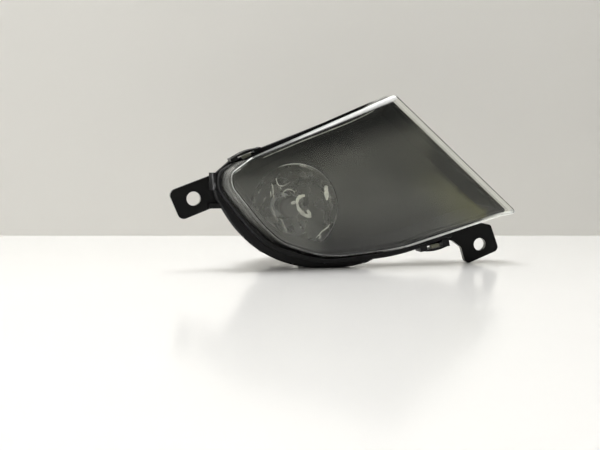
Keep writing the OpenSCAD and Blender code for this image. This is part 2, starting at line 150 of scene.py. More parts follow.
def ribbon(name, mat, D0, D1, keep, lift=0.04, rows=6, y=None, out=0.0):
    """Thin band between two offsets from the edge, on the rounded shoulder or from depth y[0] to y[1]."""
    bm = bmesh.new()
    grid, n = [], 15 * len(FACE)
    for r in range(rows + 1):
        D = [p + (q - p) * r / rows for p, q in zip(D0, D1)]
        line = ring(FACE, [d + out for d in D], 0)
        band = []
        for i, p in enumerate(line):
            c, f = divmod(i, 15)
            f /= 14
            d = SHOULDER[c - 1] * (1 - f) + SHOULDER[c] * f
            inset = -(D[c - 1] * (1 - f) + D[c] * f)
            if y:
                h = y[0] + (y[1] - y[0]) * r / rows
            elif inset >= d:
                h = 0.8
            else:
                h = 0.9 + 3.5 * (1 - math.sqrt(max(0, 1 - (1 - inset / d) ** 2)))
            band.append((p[0], h - lift, p[2]))
        grid.append(band)
    vs = [[bm.verts.new(at(*p)) for p in g] for g in grid]
    for r in range(rows):
        for i in range(n):
            j = (i + 1) % n
            m = grid[0][i], grid[0][j]
            if all(keep(q[0], q[2]) for q in m):
                bm.faces.new((vs[r][i], vs[r][j], vs[r + 1][j], vs[r + 1][i]))
    loose = [v for v in bm.verts if not v.link_faces]
    bmesh.ops.delete(bm, geom=loose, context="VERTS")
    bmesh.ops.remove_doubles(bm, verts=bm.verts, dist=2e-6)
    return obj_from(bm, name, mat)


def optic(x, y, z):
    """Point of the optical frame (x along the pivot, z up from the bowl axis) to metres."""
    t = math.radians(ROLL)
    return at(BOWL_X + x * math.cos(t) - z * math.sin(t), y, BOWL_Z + x * math.sin(t) + z * math.cos(t))


def turned(profile, name, mat, seg=96, angle=35, centre=(0, 0), cap=False, wave=None):
    """Surface of revolution about the optical Y axis from (radius, y) points."""
    bm = bmesh.new()
    rows = []
    for r, y in profile:
        row = []
        for i in range(seg):
            a = 2 * math.pi * i / seg
            rr = r + (wave(a, y) if wave else 0)
            row.append(bm.verts.new(optic(centre[0] + rr * math.cos(a), y, centre[1] + rr * math.sin(a))))
        rows.append(row)
    for a, b in zip(rows, rows[1:]):
        for i in range(seg):
            j = (i + 1) % seg
            bm.faces.new((a[i], a[j], b[j], b[i]))
    bmesh.ops.remove_doubles(bm, verts=bm.verts, dist=2e-6)
    bmesh.ops.recalc_face_normals(bm, faces=bm.faces)
    return obj_from(bm, name, mat, angle=angle)


# ---------------------------------------------------------------- materials
class Tree:
    def __init__(self, name):
        self.mat = bpy.data.materials.new(name)
        self.mat.use_nodes = True
        self.nt = self.mat.node_tree
        self.nt.nodes.clear()
        self.out = self.nt.nodes.new("ShaderNodeOutputMaterial")
        tc = self.nt.nodes.new("ShaderNodeTexCoord")
        self.pos = tc.outputs["Object"]

    def node(self, kind, **kw):
        n = self.nt.nodes.new(kind)
        for k, v in kw.items():
            setattr(n, k, v)
        return n

    def link(self, a, b):
        self.nt.links.new(a, b)

    def put(self, sock, v):
        if hasattr(v, "is_output") or isinstance(v, bpy.types.NodeSocket):
            self.link(v, sock)
        else:
            sock.default_value = v

    def noise(self, scale, detail=4, rough=0.5, vec=None, distort=0.0):
        n = self.node("ShaderNodeTexNoise")
        n.inputs["Scale"].default_value = scale
        n.inputs["Detail"].default_value = detail
        n.inputs["Roughness"].default_value = rough
        n.inputs["Distortion"].default_value = distort
        self.link(vec or self.pos, n.inputs["Vector"])
        return n.outputs["Fac"]

    def voronoi(self, scale, vec=None, feature="F1"):
        n = self.node("ShaderNodeTexVoronoi", feature=feature)
        n.inputs["Scale"].default_value = scale
        self.link(vec or self.pos, n.inputs["Vector"])
        return n.outputs["Distance"]

    def ramp(self, fac, lo, hi, a=0.0, b=1.0):
        n = self.node("ShaderNodeMapRange")
        n.clamp = True
        n.inputs["From Min"].default_value = lo
        n.inputs["From Max"].default_value = hi
        n.inputs["To Min"].default_value = a
        n.inputs["To Max"].default_value = b
        self.link(fac, n.inputs["Value"])
        return n.outputs["Result"]

    def math(self, op, a, b=0.0, c=None):
        n = self.node("ShaderNodeMath", operation=op)
        self.put(n.inputs[0], a)
        self.put(n.inputs[1], b)
        if c is not None:
            self.put(n.inputs[2], c)
        return n.outputs[0]

    def mix(self, fac, a, b):
        n = self.node("ShaderNodeMix", data_type="RGBA")
        self.put(n.inputs["Factor"], fac)
        self.put(n.inputs[6], a)
        self.put(n.inputs[7], b)
        return n.outputs[2]

    def bump(self, height, strength=0.3, dist=0.0002, normal=None):
        n = self.node("ShaderNodeBump")
        n.inputs["Strength"].default_value = strength
        n.inputs["Distance"].default_value = dist
        self.link(height, n.inputs["Height"])
        if normal is not None:
            self.link(normal, n.inputs["Normal"])
        return n.outputs["Normal"]

    def edge(self, radius=0.0006, lo=0.02, hi=0.3):
        """1 on edges, 0 on flats."""
        b = self.node("ShaderNodeBevel", samples=6)
        b.inputs["Radius"].default_value = radius
        g = self.node("ShaderNodeNewGeometry")
        d = self.node("ShaderNodeVectorMath", operation="DOT_PRODUCT")
        self.link(b.outputs["Normal"], d.inputs[0])
        self.link(g.outputs["Normal"], d.inputs[1])
        return self.ramp(self.math("SUBTRACT", 1.0, d.outputs["Value"]), lo, hi)

    def design(self):
        """X, Y and Z of the design, in mm."""
        s = self.node("ShaderNodeSeparateXYZ")
        self.link(self.pos, s.inputs[0])
        return (self.math("MULTIPLY_ADD", s.outputs[0], 1000.0, MID_X), self.math("MULTIPLY_ADD", s.outputs[1], 1000.0, MID_Y),
                self.math("MULTIPLY", s.outputs[2], 1000.0))

    def line(self, a, b, x, z):
        """Signed distance in mm from the line a-b, positive on its left side."""
        dx, dz = b[0] - a[0], b[1] - a[1]
        n = math.hypot(dx, dz)
        nx, nz = -dz / n, dx / n
        return self.math("ADD", self.math("MULTIPLY", x, nx), self.math("MULTIPLY_ADD", z, nz, -(a[0] * nx + a[1] * nz)))

    def up(self):
        g = self.node("ShaderNodeNewGeometry")
        s = self.node("ShaderNodeSeparateXYZ")
        self.link(g.outputs["Normal"], s.inputs[0])
        return s.outputs["Z"]

    def principled(self, **kw):
        n = self.node("ShaderNodeBsdfPrincipled")
        for k, v in kw.items():
            self.put(n.inputs[k.replace("_", " ")], v)
        return n

    def done(self, shader):
        self.link(shader, self.out.inputs["Surface"])
        return self.mat


def rgb(r, g, b):
    return (r, g, b, 1.0)


def plastic(name, base, light, rough=0.38, grain=900.0, grain_amt=0.25, dust=0.25, edge_wear_and_highlight=0.5, spec=0.5, sides=0.0):
    t = Tree(name)
    cloud = t.noise(38, 5, 0.55)
    fine = t.noise(grain, 2, 0.6)
    speck = t.ramp(t.voronoi(420), 0.0, 0.16, 1, 0)
    smear = t.ramp(t.noise(16, 6, 0.62, distort=0.6), 0.45, 0.72)
    col = t.mix(t.ramp(cloud, 0.3, 0.7, 0, 0.55), rgb(*base), rgb(*[c * 1.7 + 0.004 for c in base]))
    up = t.ramp(t.up(), 0.35, 1.0)
    d = t.math("MULTIPLY", t.math("MULTIPLY", up, t.ramp(t.noise(120, 5, 0.6), 0.35, 0.7)), dust)
    col = t.mix(d, col, rgb(0.24, 0.23, 0.2))
    col = t.mix(t.math("MULTIPLY", speck, t.math("MULTIPLY", up, dust)), col, rgb(0.35, 0.34, 0.3))
    # painted light: side walls facing left and down get a lighter colour, as if caught by the left lamp
    if sides:
        g = t.node("ShaderNodeNewGeometry")
        v = t.node("ShaderNodeVectorMath", operation="DOT_PRODUCT")
        t.link(g.outputs["Normal"], v.inputs[0])
        v.inputs[1].default_value = (-0.92, 0.0, -0.39)
        col = t.mix(t.math("MULTIPLY", t.ramp(v.outputs["Value"], 0.15, 0.6), sides), col, rgb(0.5, 0.5, 0.47))
    # lighter edges: edge wear together with a painted edge highlight
    e = t.math("MULTIPLY", t.edge(), t.ramp(t.noise(210, 3, 0.6), 0.4, 0.62, 0.25, 1))
    col = t.mix(t.math("MULTIPLY", e, edge_wear_and_highlight), col, rgb(*light))
    r = t.math("ADD", t.ramp(fine, 0.2, 0.8, rough - 0.06, rough + 0.08), t.math("MULTIPLY", smear, 0.14))
    r = t.math("ADD", r, t.math("MULTIPLY", d, 0.5))
    n = t.bump(fine, grain_amt, 0.00012)
    n = t.bump(cloud, 0.12, 0.0006, n)
    p = t.principled(Base_Color=col, Roughness=r, Normal=n)
    p.inputs["Specular IOR Level"].default_value = spec
    return t.done(p.outputs[0])


def painted_film(name, colour, amount, noise_scale=90.0, rough=0.35, fade=None, spec=0.5):
    """Thin translucent film of painted light or shade: transparent mixed with a solid colour by noise."""
    t = Tree(name)
    n = t.noise(noise_scale, 5, 0.65, distort=0.4)
    f = t.ramp(n, 0.3, 0.62, amount * 0.55, amount)
    if fade:
        x, y, z = t.design()
        f = t.math("MULTIPLY", f, fade(t, x, y, z))
    clear = t.node("ShaderNodeBsdfTransparent")
    col = t.mix(t.noise(300, 3), rgb(*colour), rgb(*[c * 0.85 for c in colour]))
    body = t.principled(Base_Color=col, Roughness=t.ramp(n, 0.3, 0.7, rough - 0.08, rough + 0.12))
    body.inputs["Specular IOR Level"].default_value = spec
    m = t.node("ShaderNodeMixShader")
    t.link(f, m.inputs[0])
    t.link(clear.outputs[0], m.inputs[1])
    t.link(body.outputs[0], m.inputs[2])
    return t.done(m.outputs[0])


def metal(name, base, dark, rough=0.25, scratch=0.3, metallic=1.0):
    t = Tree(name)
    streak = t.node("ShaderNodeMapping")
    streak.inputs["Scale"].default_value = (1, 14, 1)
    t.link(t.pos, streak.inputs["Vector"])
    lines = t.noise(260, 4, 0.6, vec=streak.outputs[0])
    cloud = t.noise(60, 5, 0.6)
    col = t.mix(t.ramp(cloud, 0.35, 0.75, 0, 0.5), rgb(*base), rgb(*dark))
    pits = t.ramp(t.voronoi(700), 0.0, 0.1, 1, 0)
    col = t.mix(t.math("MULTIPLY", pits, 0.3), col, rgb(*dark))
    r = t.ramp(lines, 0.25, 0.75, max(0.03, rough - 0.08), rough + scratch * 0.35)
    n = t.bump(lines, scratch * 0.4, 0.00005)
    p = t.principled(Base_Color=col, Roughness=r, Normal=n)
    p.inputs["Metallic"].default_value = metallic
    return t.done(p.outputs[0])


def rubber(name, base, dust=0.35):
    t = Tree(name)
    fine = t.noise(1400, 2, 0.6)
    cloud = t.noise(90, 5, 0.6)
    up = t.ramp(t.up(), 0.2, 1.0)
    col = t.mix(t.ramp(cloud, 0.3, 0.7), rgb(*base), rgb(*[c * 1.8 + 0.006 for c in base]))
    col = t.mix(t.math("MULTIPLY", t.math("MULTIPLY", up, t.ramp(cloud, 0.3, 0.65)), dust), col, rgb(0.2, 0.19, 0.17))
    r = t.ramp(cloud, 0.3, 0.7, 0.62, 0.8)
    n = t.bump(fine, 0.35, 0.0001)
    p = t.principled(Base_Color=col, Roughness=r, Normal=n)
    p.inputs["Sheen Weight"].default_value = 0.08
    return t.done(p.outputs[0])


def bowl_material():
    """Bright coat dulled by age, with thin pale squiggle lines painted in as glints."""
    t = Tree("reflector_coat")
    cloud = t.noise(70, 5, 0.6, distort=0.5)
    col = t.mix(t.ramp(cloud, 0.3, 0.7), rgb(0.42, 0.42, 0.39), rgb(0.3, 0.3, 0.28))
    rough = t.ramp(t.noise(120, 3, 0.5), 0.3, 0.7, 0.24, 0.32)
    # painted glints: thin pale squiggles drawn from noise contours
    glint_noise = t.noise(58, 2, 0.5, distort=1.4)
    line = t.ramp(t.math("ABSOLUTE", t.math("SUBTRACT", glint_noise, 0.5)), 0.0, 0.011, 1, 0)
    gate = t.ramp(t.noise(34, 2, 0.5), 0.56, 0.64)
    line = t.math("MULTIPLY", t.math("MULTIPLY", line, gate), 0.1)
    col = t.mix(line, col, rgb(0.85, 0.85, 0.8))
    p = t.principled(Base_Color=col, Roughness=t.math("ADD", rough, t.math("MULTIPLY", line, 0.2)),
                     Normal=t.bump(cloud, 0.06, 0.0002), Metallic=t.math("MULTIPLY_ADD", line, -0.8, 1.0))
    return t.done(p.outputs[0])


MAT = {
    "housing": plastic("housing_plastic", (0.0028, 0.0028, 0.003), (0.12, 0.12, 0.12), rough=0.32, dust=0.02, edge_wear_and_highlight=0.4, spec=0.26),
    # the ears get the painted light on their side walls facing left and down (sides)
    "ear": plastic("ear_plastic", (0.003, 0.003, 0.003), (0.09, 0.09, 0.09), rough=0.34, dust=0.02, edge_wear_and_highlight=0.5, spec=0.18, sides=0.7),
    "bezel": plastic("bezel_grey", (0.014, 0.0145, 0.014), (0.04, 0.042, 0.04), rough=0.5, grain=500, dust=0.0, edge_wear_and_highlight=0.3, spec=0.12),
    "base": plastic("base_plastic", (0.012, 0.012, 0.013), (0.06, 0.06, 0.06), rough=0.45, dust=0.2),
    "nylon": plastic("nylon_white", (0.62, 0.6, 0.53), (0.78, 0.77, 0.7), rough=0.42, dust=0.3, grain=700),
    "coat": bowl_material(),
    "shield": metal("shield_metal", (0.1, 0.1, 0.095), (0.06, 0.06, 0.058), rough=0.42, scratch=0.1),
    "lug": plastic("lug_clear", (0.13, 0.13, 0.095), (0.3, 0.3, 0.26), rough=0.3, grain=500, dust=0.1, edge_wear_and_highlight=0.4),
    # near-white paint for the painted highlight on the bowl rim
    "bright": metal("rim_highlight_white", (0.97, 0.97, 0.93), (0.9, 0.9, 0.86), rough=0.3, metallic=0.15, scratch=0.1),
    "steel": metal("steel_small", (0.6, 0.6, 0.6), (0.36, 0.34, 0.32), rough=0.3),
    "collar": metal("collar_metal", (0.68, 0.69, 0.7), (0.5, 0.5, 0.5), rough=0.3),
    "tungsten": metal("tungsten", (0.4, 0.38, 0.35), (0.2, 0.19, 0.18), rough=0.4),
    "brass": metal("pin_brass", (0.78, 0.66, 0.42), (0.5, 0.4, 0.24), rough=0.28),
    "rubber": rubber("rubber_black", (0.011, 0.011, 0.011)),
    "seal": rubber("seal_grey", (0.02, 0.02, 0.021), dust=0.05),
    "oring": rubber("rubber_seal", (0.38, 0.09, 0.035), dust=0.1),
    "felt": rubber("filter_felt", (0.55, 0.55, 0.5), dust=0.3),
}


def lens_material(inner=False):
    t = Tree("lens_clear_inside" if inner else "lens_clear")
    x, y, z = t.design()
    geo = t.node("ShaderNodeNewGeometry")
    fr = t.node("ShaderNodeFresnel")
    fr.inputs["IOR"].default_value = 1.6
    front = t.math("SUBTRACT", 1.0, geo.outputs["Backfacing"])
    cap = 0.1 if inner else 0.6
    mirror = t.math("MINIMUM", fr.outputs[0], cap)
    if not inner:
        nsep = t.node("ShaderNodeSeparateXYZ")
        t.link(geo.outputs["Normal"], nsep.inputs[0])
        top = t.math("MULTIPLY", t.ramp(nsep.outputs["Z"], 0.4, 0.6), t.ramp(nsep.outputs["Z"], 0.78, 0.9, 1, 0))
        top = t.math("MULTIPLY", top, t.ramp(nsep.outputs["X"], 0.0, 0.2, 1, 0))
        mirror = t.math("MAXIMUM", mirror, t.math("MULTIPLY", top, 0.05))
    mirror = t.math("MULTIPLY", mirror, front)
    clear = t.node("ShaderNodeBsdfTransparent")
    t.link(t.mix(t.noise(40, 3), rgb(0.985, 0.988, 0.975), rgb(0.965, 0.97, 0.955)), clear.inputs["Color"])
    gloss = t.node("ShaderNodeBsdfGlossy")
    fine = t.noise(240, 4, 0.6)
    t.link(t.ramp(fine, 0.3, 0.7, 0.05, 0.12), gloss.inputs["Roughness"])
    pits = t.ramp(t.voronoi(240), 0.0, 0.1, 1, 0)
    t.link(t.bump(pits, 0.3, 0.00008), gloss.inputs["Normal"])
    m1 = t.node("ShaderNodeMixShader")
    t.link(mirror, m1.inputs[0])
    t.link(clear.outputs[0], m1.inputs[1])
    t.link(gloss.outputs[0], m1.inputs[2])
    # condensation: clean under the top edge and in a strip along the slanted side
    big = t.noise(26, 6, 0.62, distort=0.7)
    rag = t.noise(95, 5, 0.7, distort=1.0)
    below = t.math("MULTIPLY", t.line((-33, 71.4), (63.9, 112.2), x, z), -1.0)
    reach = t.math("SUBTRACT", t.ramp(x, -36.0, 14.0, 9.0, 0.0), t.ramp(x, 34.0, 70.0, 0.0, 7.0))
    wob = t.math("MULTIPLY_ADD", rag, 26.0, -13.0)
    wob2 = t.math("MULTIPLY_ADD", t.noise(330, 5, 0.75), 8.0, -4.0)
    upper = t.line((84.6, 89.4), (92, 63), x, z)
    lower = t.line((92, 63), (123.9, 36.9), x, z)
    strip = t.math("MULTIPLY", t.math("MINIMUM", upper, lower), -1.0)
    strip = t.math("ADD", strip, t.math("MULTIPLY_ADD", wob, 0.5, wob2))
    left = t.ramp(strip, -0.2, 0.35)
    near = t.math("MULTIPLY", left, t.ramp(strip, 1.0, 22.0, 1, 0))
    near = t.math("MULTIPLY", near, t.ramp(z, 36.0, 66.0, 1, 0.15))
    top_zone = t.ramp(t.math("ADD", t.math("ADD", below, reach), t.math("MULTIPLY", wob, 0.6)), 9.0, 24.0)
    cloud = t.ramp(big, 0.32, 0.7, 0.75, 1.12)
    body = t.math("MULTIPLY", t.math("MULTIPLY", t.math("MULTIPLY_ADD", top_zone, 0.9, 0.1), cloud), t.math("MULTIPLY_ADD", left, 0.044, 0.086))
    body = t.math("MULTIPLY", body, t.math("MAXIMUM", t.ramp(z, 13.0, 42.0, 0.1, 0.84), t.math("MAXIMUM", t.ramp(x, 22.0, 4.0, 0.0, 0.86), t.ramp(x, 80.0, 100.0, 0.0, 0.8))))
    body = t.math("ADD", body, t.math("MULTIPLY", near, 0.06))
    body = t.math("MULTIPLY", body, 1.75 if inner else 0.22)
    body = t.math("MULTIPLY", body, t.ramp(y, 4.0, 5.0, 1, 0.12))
    # painted sheen: lighter grey haze on the lens skirt at the left and lower left
    skirt_sheen = t.math("MULTIPLY", t.ramp(y, 3.6, 4.8), t.math("MULTIPLY", t.ramp(x, -8.0, 16.0, 1, 0), t.ramp(z, 18.0, 48.0)))
    body = t.math("ADD", body, t.math("MULTIPLY", skirt_sheen, 0.24))
    specks = t.math("MULTIPLY", t.ramp(t.voronoi(300), 0.04, 0.2, 1, 0), t.ramp(t.noise(70, 3), 0.47, 0.56))
    specks = t.math("MULTIPLY", specks, t.math("MULTIPLY", t.ramp(below, 4.0, 26.0, 1, 0.03), t.ramp(x, 4.0, 26.0)))
    body = t.math("ADD", body, t.math("MULTIPLY", specks, 0.24 if inner else 0.05))
    bowl_dx = t.math("MULTIPLY", t.math("SUBTRACT", x, 15.0), t.math("SUBTRACT", x, 15.0))
    bowl_dz = t.math("MULTIPLY", t.math("SUBTRACT", z, 42.0), t.math("SUBTRACT", z, 42.0))
    mist = t.ramp(t.math("SQRT", t.math("ADD", bowl_dx, bowl_dz)), 6.0, 26.0, 1, 0)
    body = t.math("ADD", body, t.math("MULTIPLY", t.math("MULTIPLY", mist, cloud), 0.05 if inner else 0.0))
    tint = t.mix(near, rgb(0.56, 0.56, 0.5), rgb(0.6, 0.59, 0.28))
    # lighter grey tint for the painted skirt sheen
    tint = t.mix(t.math("MULTIPLY", skirt_sheen, 0.5), tint, rgb(0.6, 0.61, 0.6))
    haze = t.principled(Base_Color=tint, Roughness=0.62)
    m2 = t.node("ShaderNodeMixShader")
    t.link(body, m2.inputs[0])
    t.link(m1.outputs[0], m2.inputs[1])
    t.link(haze.outputs[0], m2.inputs[2])
    return t.done(m2.outputs[0])


MAT["lens_inside"] = lens_material(True)
MAT["lens"] = lens_material()


def glass_material():
    t = Tree("bulb_glass_clear")
    fr = t.node("ShaderNodeFresnel")
    fr.inputs["IOR"].default_value = 1.47
    clear = t.node("ShaderNodeBsdfTransparent")
    clear.inputs["Color"].default_value = (0.95, 0.96, 0.97, 1)
    gloss = t.node("ShaderNodeBsdfGlossy")
    t.link(t.ramp(t.noise(90, 4), 0.3, 0.7, 0.02, 0.06), gloss.inputs["Roughness"])
    m = t.node("ShaderNodeMixShader")
    geo = t.node("ShaderNodeNewGeometry")
    t.link(t.math("MULTIPLY", fr.outputs[0], t.math("SUBTRACT", 1.0, geo.outputs["Backfacing"])), m.inputs[0])
    t.link(clear.outputs[0], m.inputs[1])
    t.link(gloss.outputs[0], m.inputs[2])
    return t.done(m.outputs[0])


MAT["glass"] = glass_material()

NODE_MAT = {
    "housing": "housing", "lens_seal": "seal", "ear_left": "ear", "ear_right": "ear", "bezel": "bezel",
    "bezel_screws": "steel", "reflector": "coat", "bulb_shield": "shield", "shield_rivets": "steel",
    "pivot_pins": "steel", "pivot_caps": "nylon", "bulb_glass": "glass", "bulb_filament": "tungsten",
    "filament_leads": "tungsten", "bulb_collar": "collar", "bulb_base": "base", "bulb_seal": "oring",
    "plug_shell": "base", "plug_pins": "brass", "plug_latch": "base", "rear_boot": "rubber",
    "boot_ring": "steel", "adjuster_screw": "nylon", "adjuster_nut": "nylon", "adjuster_clip": "steel",
    "adjuster_seal": "rubber", "adjuster_washer": "steel", "vent_elbow": "rubber", "vent_filter": "felt",
}
for name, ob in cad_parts.items():
    if name not in NODE_MAT:
        continue
    ob.data.materials.clear()
    ob.data.materials.append(MAT[NODE_MAT[name]])

# ---------------------------------------------------------------- lens
def lens_rings():
    out = []
    for q, y in ((0.1, 0.0), (0.3, 0.05), (0.5, 0.14), (0.68, 0.28), (0.82, 0.44), (0.92, 0.62)):
        out.append(ring(FACE, [-d for d in SHOULDER], y, q))
    out.append(ring(FACE, [-d - 0.25 for d in SHOULDER], 0.78))
    out.append(ring(FACE, [-d for d in SHOULDER], 0.8))
    for i in range(1, 13):
        f = math.pi / 2 * (1 - i / 12)
        out.append(ring(FACE, [-d * (1 - math.cos(f)) for d in SHOULDER], 0.9 + 3.5 * (1 - math.sin(f))))
    for i in (1, 2, 3, 4, 5, 6):
        y = 4.4 + 11.6 * i / 6
        out.append(ring(FACE, [d * i / 6 for d in FLARE], y))
    inner = []
    for i in (6, 5, 4, 3, 2, 1):
        y = 5.3 + 10.7 * i / 6
        inner.append(ring(FACE, [d * i / 6 - 2.5 for d in FLARE], y))
    for i in range(8):
        f = math.pi / 2 * i / 7
        inner.append(ring(FACE, -2.5 - 1.5 * (1 - math.cos(f)), 3.4 + 1.9 * (1 - math.sin(f))))
    for q, y in ((0.9, 3.3), (0.68, 2.9), (0.4, 2.65), (0.1, 2.5)):
        inner.append(ring(FACE, -4.0, y, q))
    return out + inner


lens = loft(lens_rings(), "lens_shell", MAT["lens"], angle=50, second=MAT["lens_inside"], row=26)
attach(lens, "housing")
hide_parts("lens")


def above(x, z):
    """Height over the straight top edge of the lens."""
    return z - 71.4 - (x + 33) * 0.421


# mask of the painted crease highlight: stronger higher up and towards the right
def crease_fade(t, x, y, z):
    up = t.ramp(z, 46.0, 66.0, 0.42, 1.0)
    right = t.ramp(x, 20.0, 70.0)
    return t.math("MINIMUM", 1.0, t.math("MAXIMUM", up, t.math("MULTIPLY", right, 0.7)))


# mask of the painted white highlight on the top shoulder, wider towards the right
def shine_fade(t, x, y, z):
    inset = t.line((63.9, 112.2), (-33, 71.4), x, z)
    wide = t.ramp(x, -26.0, 62.0, 0.9, 3.7)
    f = t.ramp(t.math("SUBTRACT", inset, wide), -0.9, 0.3, 1.0, 0.0)
    return t.math("MULTIPLY", f, t.ramp(x, -36.0, -22.0))


# painted highlight: pale line along the inner crease of the lens shoulder
pale = painted_film("edge_highlight", (0.96, 0.96, 0.93), 0.78, fade=crease_fade)
# painted highlight: faint pale line along the top edge, fading out to the right
faint = painted_film("edge_faint_highlight", (0.9, 0.9, 0.88), 0.5, noise_scale=140, fade=lambda t, x, y, z: t.ramp(x, 44.0, 56.0, 1.0, 0.0))
dark = painted_film("edge_shade", (0.004, 0.004, 0.004), 0.95, noise_scale=60, spec=0.0)
foot = painted_film("foot_shade", (0.004, 0.004, 0.004), 1.9, noise_scale=12, spec=0.0,
            fade=lambda t, x, y, z: t.math("MULTIPLY", t.ramp(y, 7.6, 8.6), t.ramp(x, 40.0, 54.0, 1.3, 0.0)))
# painted highlight: bright line along the lower edge of the lens, stronger to the right
low_shine = painted_film("edge_bright", (0.98, 0.98, 0.96), 1.0, noise_scale=30,
            fade=lambda t, x, y, z: t.ramp(x, 62.0, 128.0, 0.14, 1.0))
# painted highlight: bright line at the right tip of the lens edge
tip = painted_film("edge_tip", (0.98, 0.98, 0.96), 0.95, noise_scale=30,
           fade=lambda t, x, y, z: t.ramp(x, 118.0, 141.0))
brow = painted_film("brow_shade", (0.004, 0.004, 0.004), 1.9, noise_scale=18, spec=0.0,
            fade=lambda t, x, y, z: t.math("MULTIPLY", t.ramp(x, 38.0, 47.0, 1.0, 0.0), t.ramp(x, -38.0, -30.0)))
# painted shade: soft dark film over the top shoulder, strongest on the left
brow_soft_shade = painted_film("brow_soft_shade", (0.05, 0.05, 0.048), 0.6, noise_scale=18, spec=0.0,
                 fade=lambda t, x, y, z: t.math("MULTIPLY", t.ramp(x, -8.0, 40.0, 1.0, 0.1), t.ramp(x, -38.0, -30.0)))
# painted highlight: white band along the top shoulder of the lens
shine = painted_film("edge_white", (0.98, 0.98, 0.96), 1.0, noise_scale=25, fade=shine_fade)
W = [-1.45, -1.45, -1.45, -1.45, -1.0, -1.3, -1.45, -1.45, -1.45, -1.45]
N = [-0.98, -0.98, -0.98, -0.98, -0.3, -0.65, -0.95, -0.98, -0.98, -0.98]
for ob in (
    ribbon("crease_highlight", pale, W, N, lambda x, z: above(x, z) < 3 and not (x > 66 and z > 36) and not (x > -16 and z > 60)),
    ribbon("crease_shade", dark, [-2.15] * 10, W, lambda x, z: x < -8 and z < 68),
    ribbon("side_shade", dark, [-1.15] * 10, [-0.2] * 10, lambda x, z: x > 64 and z > 35),
    ribbon("top_shine", shine, [-3.9] * 10, [-0.05] * 10, lambda x, z: above(x, z) > -6 and -40 < x < 66, rows=10),
    ribbon("brow_shade", brow, [-0.15] * 10, [0.0] * 10, lambda x, z: above(x, z) > -6 and -42 < x < 61.9, lift=0.07, out=0.05),
    ribbon("brow_soft_shade", brow_soft_shade, [-1.1] * 10, [-0.15] * 10, lambda x, z: above(x, z) > -6 and -42 < x < 62.6, lift=0.07, out=0.05),
    ribbon("brow_side", brow, [0.05] * 10, [d * 0.27 + 0.05 for d in FLARE], lambda x, z: above(x, z) > -6 and -42 < x < 61.75, lift=0, y=(4.3, 7.6)),
    ribbon("top_highlight_line", faint, [-1.6, -1.6, -1.6, -1.6, -4.25, -2.2, -1.6, -1.6, -1.6, -1.6], [-1.3, -1.3, -1.3, -1.3, -3.85, -1.9, -1.3, -1.3, -1.3, -1.3],
           lambda x, z: above(x, z) > -6 and x < 62),
    ribbon("foot_shade", foot, [d * 0.25 + 0.05 for d in FLARE], [d + 0.05 for d in FLARE], lambda x, z: above(x, z) > -0.5 and x < 61.7, lift=0, y=(7.3, 16.0)),
    ribbon("low_edge_highlight", low_shine, [-1.1] * 10, [-0.1] * 10, lambda x, z: x > 40 and z < 36, lift=0, y=(3.2, 1.7)),
    ribbon("tip_highlight", tip, [-2.1] * 10, [-0.4] * 10, lambda x, z: x > 60 and z < 37.4, lift=0, y=(4.2, 2.6)),
):
    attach(ob, "housing")


def painted_strokes(name, mat, lines, y, sides=6):
    """Painted glints and highlight lines drawn as thin strokes on the inner face of the lens: (points, width) pairs
    in design X and Z.
    """
    bm = bmesh.new()
    for pts, width in lines:
        fine = []
        for a, b in zip(pts, pts[1:]):
            fine += [(a[0] + (b[0] - a[0]) * k / 5, a[1] + (b[1] - a[1]) * k / 5) for k in range(5)]
        fine.append(pts[-1])
        for _ in range(3):
            fine = [fine[0]] + [tuple((p[c] + 2 * q[c] + r[c]) / 4 for c in (0, 1)) for p, q, r in zip(fine, fine[1:], fine[2:])] + [fine[-1]]
        rows, n = [], len(fine) - 1
        for i, (x, z) in enumerate(fine):
            p, q = fine[max(0, i - 1)], fine[min(n, i + 1)]
            d = Vector((q[0] - p[0], q[1] - p[1])).normalized()
            h = width / 2 * (0.3 + 0.7 * math.sin(math.pi * (0.1 + 0.8 * i / n))) * (0.8 + 0.2 * math.sin(i * 1.9) * math.cos(i * 0.7))
            row = []
            for j in range(sides):
                a = 2 * math.pi * j / sides
                row.append(bm.verts.new(at(x - d.y * h * math.cos(a), y - 0.06 * math.sin(a), z + d.x * h * math.cos(a))))
            rows.append(row)
        for a, b in zip(rows, rows[1:]):
            for j in range(sides):
                k = (j + 1) % sides
                bm.faces.new((a[j], a[k], b[k], b[j]))
        bm.faces.new(rows[0])
        bm.faces.new(list(reversed(rows[-1])))
    bmesh.ops.recalc_face_normals(bm, faces=bm.faces)
    ob = obj_from(bm, name, mat, angle=60)
    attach(ob, "housing")
    return ob


# painted reflections: the bright C-shaped glint and the bright patch seen in the bowl
painted_strokes("glints_strong", painted_film("glint_white", (0.92, 0.92, 0.8), 0.95, noise_scale=160, rough=0.5), [
    ([(3.9, 48.1), (0.9, 47.6), (-0.9, 46.0), (-1.3, 43.0)], 2.9),
    ([(17.7, 54.2), (18.0, 50.0), (18.4, 45.0)], 3.6),
], 2.56)
